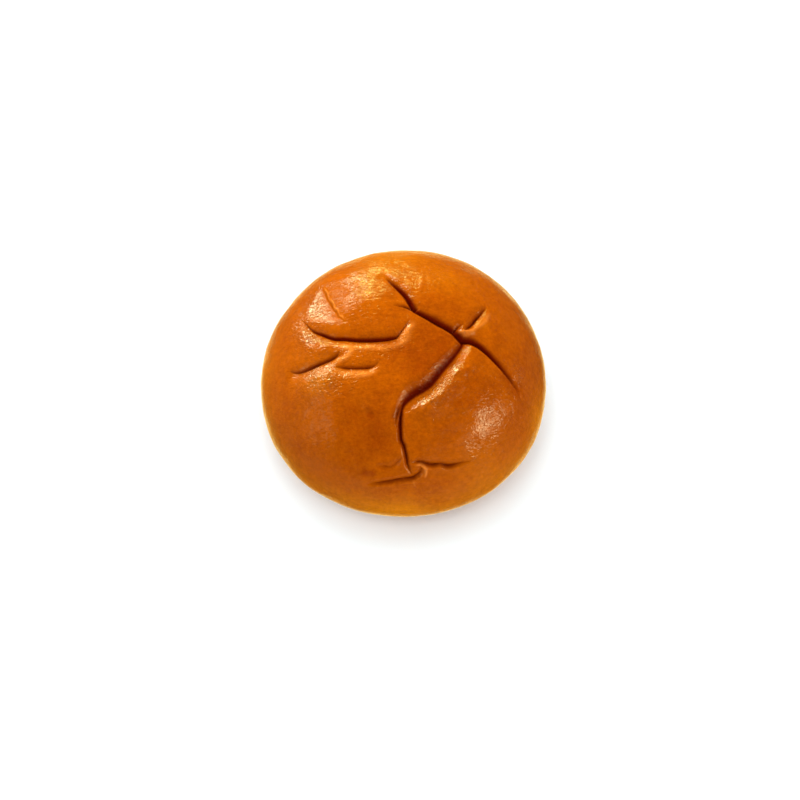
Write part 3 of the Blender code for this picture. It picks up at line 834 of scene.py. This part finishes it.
def crust_material(finish, size):
    """Egg-washed crust, mottled and wrinkled."""
    material = bpy.data.materials.new("baked_crust")
    material.use_nodes = True
    tree = material.node_tree
    place = add_node(tree, "ShaderNodeTexCoord").outputs["Object"]
    masks = crust_masks(tree, place, size)
    bump = add_node(tree, "ShaderNodeBump")
    bump.inputs["Strength"].default_value = 1.0
    bump.inputs["Distance"].default_value = finish.wrinkle_height
    tree.links.new(crust_skin(tree, place, masks), bump.inputs["Height"])
    shader = tree.nodes["Principled BSDF"]
    links = {
        "Base Color": crust_colour(tree, place, masks, finish, size),
        "Roughness": crust_roughness(tree, masks, finish),
        "Specular IOR Level": crust_gloss(tree, place, masks, finish),
        "Normal": bump.outputs["Normal"],
    }
    for name, socket in links.items():
        tree.links.new(socket, shader.inputs[name])
    return material


# --- The stage ---

# A soft box: azimuth from +X anticlockwise and elevation in degrees, distance, width and height
# in metres, brightness, colour, whether the crust mirrors it, and what it lights
SoftBox = namedtuple(
    "SoftBox", "azimuth elevation distance width height brightness colour mirrored lights"
)
SENSOR = 36.0  # mm, the camera's default width
IMAGE_SIDE = 800  # pixels
NEUTRAL = (1.0, 1.0, 1.0)
COOL = (0.86, 1.0, 1.06)  # evens out the bun's orange glow on the table
WARM = (1.0, 0.8, 0.42)  # mirrored at the right, the front and the left
PALE = (0.82, 0.92, 0.56)  # mirrored by the flat facet
STRAW = (0.84, 0.88, 0.2)  # mirrored at the back
BOUNCE_HEADING = (90.0, -60.0)  # azimuth and elevation of the table's bounce
BOUNCE_EDGE = (0.84, 0.97)  # cosines of the angle off it at which it starts and is full
FLOOR_ROUGHNESS = 0.9
FLOOR_GLOSS = 0.1
FRONT = -90.0  # azimuth of the camera

SOFT_BOXES = {
    "key_back": SoftBox(108.0, 38.0, 1.4, 1.0, 0.9, 7.75, NEUTRAL, False, "bun"),
    "ceiling": SoftBox(95.0, 80.0, 1.2, 1.6, 1.6, 1.2, NEUTRAL, False, "bun"),
    "wall_front": SoftBox(-90.0, 25.0, 1.6, 2.4, 1.4, 1.4, NEUTRAL, False, "bun"),
    "wall_left": SoftBox(180.0, 30.0, 1.6, 2.4, 1.4, 0.8, NEUTRAL, False, "bun"),
    "wall_right": SoftBox(0.0, 30.0, 1.6, 2.4, 1.4, 0.6, NEUTRAL, False, "bun"),
    "table_left": SoftBox(155.0, 56.0, 1.0, 1.5, 1.4, 1.5, COOL, False, "table"),
    "table_right": SoftBox(62.0, 54.0, 1.0, 1.5, 1.2, 1.5, COOL, False, "table"),
    "table_front": SoftBox(-85.0, 55.0, 1.0, 1.2, 0.9, 2.3, COOL, False, "table"),
    "window_back": SoftBox(102.0, 15.5, 1.2, 0.34, 0.19, 16.0, STRAW, True, "bun"),
    "window_left": SoftBox(119.5, 16.0, 1.2, 0.36, 0.34, 19.0, PALE, True, "bun"),
    "side_right": SoftBox(-21.0, 23.0, 1.1, 0.58, 0.24, 8.0, WARM, True, "bun"),
    "side_front": SoftBox(-56.0, 27.0, 1.1, 0.6, 0.3, 0.45, WARM, True, "bun"),
    "side_left": SoftBox(200.0, 26.0, 1.1, 0.25, 0.5, 2.0, WARM, True, "bun"),
}


def aim(thing, target):
    """Turn a camera or light so that it looks at a point, its top upwards."""
    heading = Vector(target) - thing.location
    thing.rotation_euler = heading.to_track_quat("-Z", "Y").to_euler()


def polar_place(azimuth, elevation, distance, centre):
    """A point seen from the centre at an azimuth and elevation in degrees."""
    a, e = math.radians(azimuth), math.radians(elevation)
    away = Vector((math.cos(e) * math.cos(a), math.cos(e) * math.sin(a), math.sin(e)))
    return Vector(centre) + away * distance


def link(thing):
    bpy.context.scene.collection.objects.link(thing)
    return thing


def floor_material(stage):
    """Matt white, glowing a little so that the bun's shadow stays pale."""
    material = bpy.data.materials.new("white_table")
    material.use_nodes = True
    values = {
        "Base Color": (*stage.floor_colour, 1.0),
        "Roughness": FLOOR_ROUGHNESS,
        "Specular IOR Level": FLOOR_GLOSS,
        "Emission Color": (*NEUTRAL, 1.0),
        "Emission Strength": stage.floor_glow,
    }
    shader = material.node_tree.nodes["Principled BSDF"]
    for name, value in values.items():
        shader.inputs[name].default_value = value
    return material


def make_floor(stage):
    """The table top, which the crust doesn't mirror."""
    bm = bmesh.new()
    bmesh.ops.create_grid(bm, x_segments=1, y_segments=1, size=stage.floor_size / 2)
    mesh = bpy.data.meshes.new("table_top")
    bm.to_mesh(mesh)
    bm.free()
    mesh.materials.append(floor_material(stage))
    floor = link(bpy.data.objects.new("table_top", mesh))
    floor.visible_glossy = False
    return floor


def make_lights(stage, centre, bun, table):
    """Soft boxes, each for the bun or for the table alone, so that the bun's shadow stays short
    and pale."""
    lit = {}
    for name, thing in (("bun", bun), ("table", table)):
        lit[name] = bpy.data.collections.new("lit_" + name)
        lit[name].objects.link(thing)
    for name, box in SOFT_BOXES.items():
        lamp = bpy.data.lights.new(name, "AREA")
        lamp.shape = "RECTANGLE"
        lamp.size = box.width
        lamp.size_y = box.height
        lamp.color = box.colour
        lamp.energy = box.brightness * math.pi * box.width * box.height * stage.light_strength
        light = link(bpy.data.objects.new(name, lamp))
        light.location = polar_place(box.azimuth, box.elevation, box.distance, centre)
        light.visible_glossy = box.mirrored
        lamp.cycles.use_multiple_importance_sampling = box.mirrored
        light.light_linking.receiver_collection = lit[box.lights]
        aim(light, centre)


def make_world(stage):
    """Faint warm light all round and a plain backdrop. The crust mirrors a darker room instead,
    with light that the table throws up from below and behind the bun."""
    world = bpy.data.worlds.new("white_room")
    world.use_nodes = True
    tree = world.node_tree
    background = tree.nodes["Background"]
    heading = add_node(tree, "ShaderNodeTexCoord").outputs["Generated"]
    bounce = polar_place(*BOUNCE_HEADING, 1.0, (0, 0, 0))
    toward = vector_node(tree, "DOT_PRODUCT", heading, bounce).outputs["Value"]
    mirrored = remap_node(tree, toward, *BOUNCE_EDGE, stage.mirrored_room, stage.mirrored_bounce)
    rays = add_node(tree, "ShaderNodeLightPath").outputs
    level = add_node(tree, "ShaderNodeMix")
    level.inputs["A"].default_value = stage.room_light
    tree.links.new(rays["Is Glossy Ray"], level.inputs["Factor"])
    tree.links.new(mirrored, level.inputs["B"])
    backdrop = math_node(tree, "MULTIPLY", rays["Is Camera Ray"], stage.backdrop)
    strength = math_node(tree, "MAXIMUM", level.outputs["Result"], backdrop)
    tree.links.new(strength, background.inputs["Strength"])
    colour = mix_colours(tree, rays["Is Camera Ray"], stage.room_colour, NEUTRAL)
    tree.links.new(colour, background.inputs["Color"])
    world.cycles.sampling_method = "NONE"
    bpy.context.scene.world = world


def make_camera(stage, centre):
    """A long lens looking down on the bun, which sits a little above the picture's middle."""
    lens = bpy.data.cameras.new("camera")
    lens.lens = stage.lens
    lens.clip_start = 0.05
    camera = link(bpy.data.objects.new("camera", lens))
    camera.location = polar_place(FRONT, stage.camera_elevation, stage.camera_distance, centre)
    aim(camera, centre)
    pixel = SENSOR / IMAGE_SIDE * stage.camera_distance / stage.lens
    right, up = stage.picture_offset
    turn = camera.rotation_euler.to_matrix()
    camera.location += turn @ Vector((-right * pixel, -up * pixel, 0.0))
    bpy.context.scene.camera = camera


# --- Settings, operators and panel ---


class BunSize(bpy.types.PropertyGroup):
    """The bun's driving sizes."""

    width: bpy.props.FloatProperty(
        name="Width",
        description="Across the widest ring",
        default=0.09,
        min=0.03,
        unit="LENGTH",
    )
    height: bpy.props.FloatProperty(
        name="Height",
        description="From the table to the top",
        default=0.045,
        min=0.02,
        unit="LENGTH",
    )
    belt_height: bpy.props.FloatProperty(
        name="Belt height",
        description="Height of the widest ring",
        default=0.015,
        min=0.005,
        unit="LENGTH",
    )
    base_width: bpy.props.FloatProperty(
        name="Base width",
        description="Across the flat that rested on the baking tray",
        default=0.062,
        min=0.02,
        unit="LENGTH",
    )
    crown_fullness: bpy.props.FloatProperty(
        name="Crown fullness",
        description="2 is an ellipse, more is squarer",
        default=2.05,
        min=1.5,
        max=4.0,
    )
    detail: bpy.props.IntProperty(
        name="Detail",
        description="Subdivisions of the sphere that the mesh starts from",
        default=7,
        min=3,
        max=7,
    )


class CrustFinish(bpy.types.PropertyGroup):
    """The crust's colours and gloss."""

    crown_colour: bpy.props.FloatVectorProperty(
        name="Crown",
        description="Deep brown of the top",
        subtype="COLOR",
        default=(0.40, 0.080, 0.0004),
        min=0.0,
        max=1.0,
    )
    flank_colour: bpy.props.FloatVectorProperty(
        name="Flank",
        description="Golden side above the base",
        subtype="COLOR",
        default=(0.62, 0.19, 0.0015),
        min=0.0,
        max=1.0,
    )
    # Colour of the browner mottling and of the painted shade in the browner spots
    brown_colour: bpy.props.FloatVectorProperty(
        name="Freckles",
        description="Browner mottling",
        subtype="COLOR",
        default=(0.27, 0.042, 0.0003),
        min=0.0,
        max=1.0,
    )
    # Partly real paler crust on the lips, partly a painted highlight where they catch the light
    crest_colour: bpy.props.FloatVectorProperty(
        name="Crests",
        description="Paler crust on the lips of the folds",
        subtype="COLOR",
        default=(0.68, 0.2, 0.025),
        min=0.0,
        max=1.0,
    )
    # Colour of the painted shade mixed in deep in the folds, where shade falls
    fold_colour: bpy.props.FloatVectorProperty(
        name="Folds",
        description="Dark crust deep in the folds",
        subtype="COLOR",
        default=(0.11, 0.005, 0.0002),
        min=0.0,
        max=1.0,
    )
    base_colour: bpy.props.FloatVectorProperty(
        name="Base",
        description="Dry crust underneath",
        subtype="COLOR",
        default=(0.5, 0.2, 0.05),
        min=0.0,
        max=1.0,
    )
    roughness: bpy.props.FloatProperty(
        name="Roughness",
        description="Of the egg-wash glaze",
        default=0.17,
        min=0.0,
        max=1.0,
        subtype="FACTOR",
    )
    gloss: bpy.props.FloatProperty(
        name="Gloss",
        description="Mirror strength of the egg-wash glaze",
        default=0.5,
        min=0.0,
        max=1.0,
        subtype="FACTOR",
    )
    wrinkle_height: bpy.props.FloatProperty(
        name="Wrinkle height",
        description="Of the fine wrinkles of the skin",
        default=0.00017,
        min=0.0,
        unit="LENGTH",
    )


class StageSettings(bpy.types.PropertyGroup):
    """The table, the light and the camera."""

    floor_colour: bpy.props.FloatVectorProperty(
        name="Table",
        description="Colour of the table",
        subtype="COLOR",
        default=(0.9, 0.9, 0.9),
        min=0.0,
        max=1.0,
    )
    floor_size: bpy.props.FloatProperty(
        name="Table size",
        description="Side of the square table top",
        default=3.0,
        min=0.3,
        unit="LENGTH",
    )
    floor_glow: bpy.props.FloatProperty(
        name="Table glow",
        description="Light that the table gives off itself",
        default=0.1,
        min=0.0,
    )
    light_strength: bpy.props.FloatProperty(
        name="Light strength",
        description="Scales every soft box",
        default=1.0,
        min=0.0,
    )
    room_light: bpy.props.FloatProperty(
        name="Room light",
        description="Brightness of the light from all round",
        default=0.08,
        min=0.0,
    )
    room_colour: bpy.props.FloatVectorProperty(
        name="Room colour",
        description="Colour of the light from all round",
        subtype="COLOR",
        default=(1.0, 0.74, 0.25),
        min=0.0,
        max=1.0,
    )
    backdrop: bpy.props.FloatProperty(
        name="Backdrop",
        description="Brightness of the plain backdrop behind the table",
        default=0.85,
        min=0.0,
    )
    mirrored_bounce: bpy.props.FloatProperty(
        name="Mirrored bounce",
        description="Brightness of the table's bounce as the crust mirrors it",
        default=1.7,
        min=0.0,
    )
    mirrored_room: bpy.props.FloatProperty(
        name="Mirrored room",
        description="Brightness of the rest of the room as the crust mirrors it",
        default=0.03,
        min=0.0,
    )
    camera_elevation: bpy.props.FloatProperty(
        name="Camera elevation",
        description="Degrees above the table",
        default=60.0,
        min=5.0,
        max=89.0,
    )
    camera_distance: bpy.props.FloatProperty(
        name="Camera distance",
        description="From the bun's middle",
        default=0.6,
        min=0.1,
        unit="LENGTH",
    )
    lens: bpy.props.FloatProperty(
        name="Lens",
        description="Focal length in millimetres",
        default=87.3,
        min=10.0,
    )
    picture_offset: bpy.props.FloatVectorProperty(
        name="Picture offset",
        description="Where the bun's middle lies from the picture's, in pixels right and up",
        size=2,
        default=(3.3, 30.05),
    )


class OBJECT_OT_shape_bun(bpy.types.Operator):
    """Shape the folded bun and finish its crust"""

    bl_idname = "object.shape_red_bean_bun"
    bl_label = "Shape Bun"

    def execute(self, context):
        settings = context.scene
        bun = link(bpy.data.objects.new("baked_bun", shape_bun(settings.bun_size)))
        bun.data.materials.append(crust_material(settings.bun_crust, settings.bun_size))
        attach(bun, "root")
        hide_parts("bun")
        return {"FINISHED"}


class SCENE_OT_set_bun_stage(bpy.types.Operator):
    """Set the table, the soft light and the camera"""

    bl_idname = "scene.set_bun_stage"
    bl_label = "Set Stage"

    def execute(self, context):
        stage = context.scene.bun_stage
        centre = Vector((0.0, 0.0, context.scene.bun_size.height / 2))
        table = make_floor(stage)
        make_lights(stage, centre, bpy.data.objects["baked_bun"], table)
        make_world(stage)
        make_camera(stage, centre)
        context.scene.view_settings.view_transform = "Standard"
        return {"FINISHED"}


class VIEW3D_PT_red_bean_bun(bpy.types.Panel):
    """Lists the bun's settings and operators"""

    bl_label = "Red Bean Bun"
    bl_space_type = "VIEW_3D"
    bl_region_type = "UI"
    bl_category = "Bun"

    def draw(self, context):
        layout = self.layout
        groups = (
            (context.scene.bun_size, OBJECT_OT_shape_bun),
            (context.scene.bun_crust, None),
            (context.scene.bun_stage, SCENE_OT_set_bun_stage),
        )
        for group, operator in groups:
            column = layout.column()
            for name in group.__annotations__:
                column.prop(group, name)
            if operator:
                column.operator(operator.bl_idname)


SETTINGS = {"bun_size": BunSize, "bun_crust": CrustFinish, "bun_stage": StageSettings}
CLASSES = (*SETTINGS.values(), OBJECT_OT_shape_bun, SCENE_OT_set_bun_stage, VIEW3D_PT_red_bean_bun)


def register():
    for cls in CLASSES:
        bpy.utils.register_class(cls)
    for name, group in SETTINGS.items():
        setattr(bpy.types.Scene, name, bpy.props.PointerProperty(type=group))


def unregister():
    for name in SETTINGS:
        delattr(bpy.types.Scene, name)
    for cls in reversed(CLASSES):
        bpy.utils.unregister_class(cls)


def main():
    register()
    bpy.ops.object.shape_red_bean_bun()
    bpy.ops.scene.set_bun_stage()


if __name__ == "__main__":
    main()
